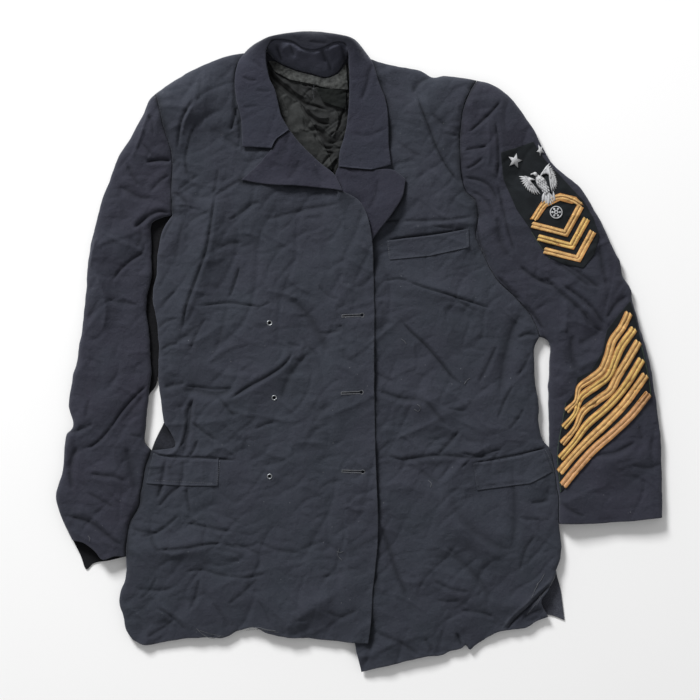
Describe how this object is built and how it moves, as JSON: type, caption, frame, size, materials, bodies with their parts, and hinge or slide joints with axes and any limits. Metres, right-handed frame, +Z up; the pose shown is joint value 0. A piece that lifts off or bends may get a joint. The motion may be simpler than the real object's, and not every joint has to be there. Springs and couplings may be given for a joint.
{
  "type": "military dress tunic",
  "caption": "Double-breasted naval wool jacket laid flat face up, with peaked lapels, welt pockets, an arm badge and gold sleeve stripes.",
  "frame": {"origin": "middle of the outline's box, on the surface that the jacket lies on", "axes": "+Y from the hem towards the collar, +X towards the jacket's left sleeve, +Z up off the surface"},
  "size_m": [0.7877, 0.8335, 0.0303],
  "materials": {
    "wool": "dark navy wool serge, soft and creased",
    "lining": "charcoal lining with a faint sheen",
    "label": "plain dark woven patch",
    "badge_cloth": "near-black wool ground",
    "gold_lace": "gold lace, peach and yellow",
    "silver_thread": "silver thread embroidery",
    "eyelet_metal": "dull pale metal"
  },
  "bodies": {
    "root": {"back": "wool", "right_front": "wool", "left_front": "wool", "right_lapel": "wool", "left_lapel": "wool", "collar_fall": "wool", "collar_stand": "wool", "right_sleeve_top": "wool", "right_sleeve_under": "wool", "left_sleeve_top": "wool", "left_sleeve_under": "wool", "breast_welt": "wool", "right_pocket_welt": "wool", "left_pocket_welt": "wool", "neck_lining": "lining", "front_lining": "lining", "neck_label": "label", "rating_badge": "badge_cloth", "stripe_ground": "badge_cloth", "badge_arc": "gold_lace", "chevron_1": "gold_lace", "chevron_2": "gold_lace", "chevron_3": "gold_lace", "service_stripe_1": "gold_lace", "service_stripe_2": "gold_lace", "service_stripe_3": "gold_lace", "service_stripe_4": "gold_lace", "service_stripe_5": "gold_lace", "service_stripe_6": "gold_lace", "badge_bird": "silver_thread", "eyelet_1": "eyelet_metal", "eyelet_2": "eyelet_metal", "eyelet_3": "eyelet_metal"}
  },
  "joints": []
}
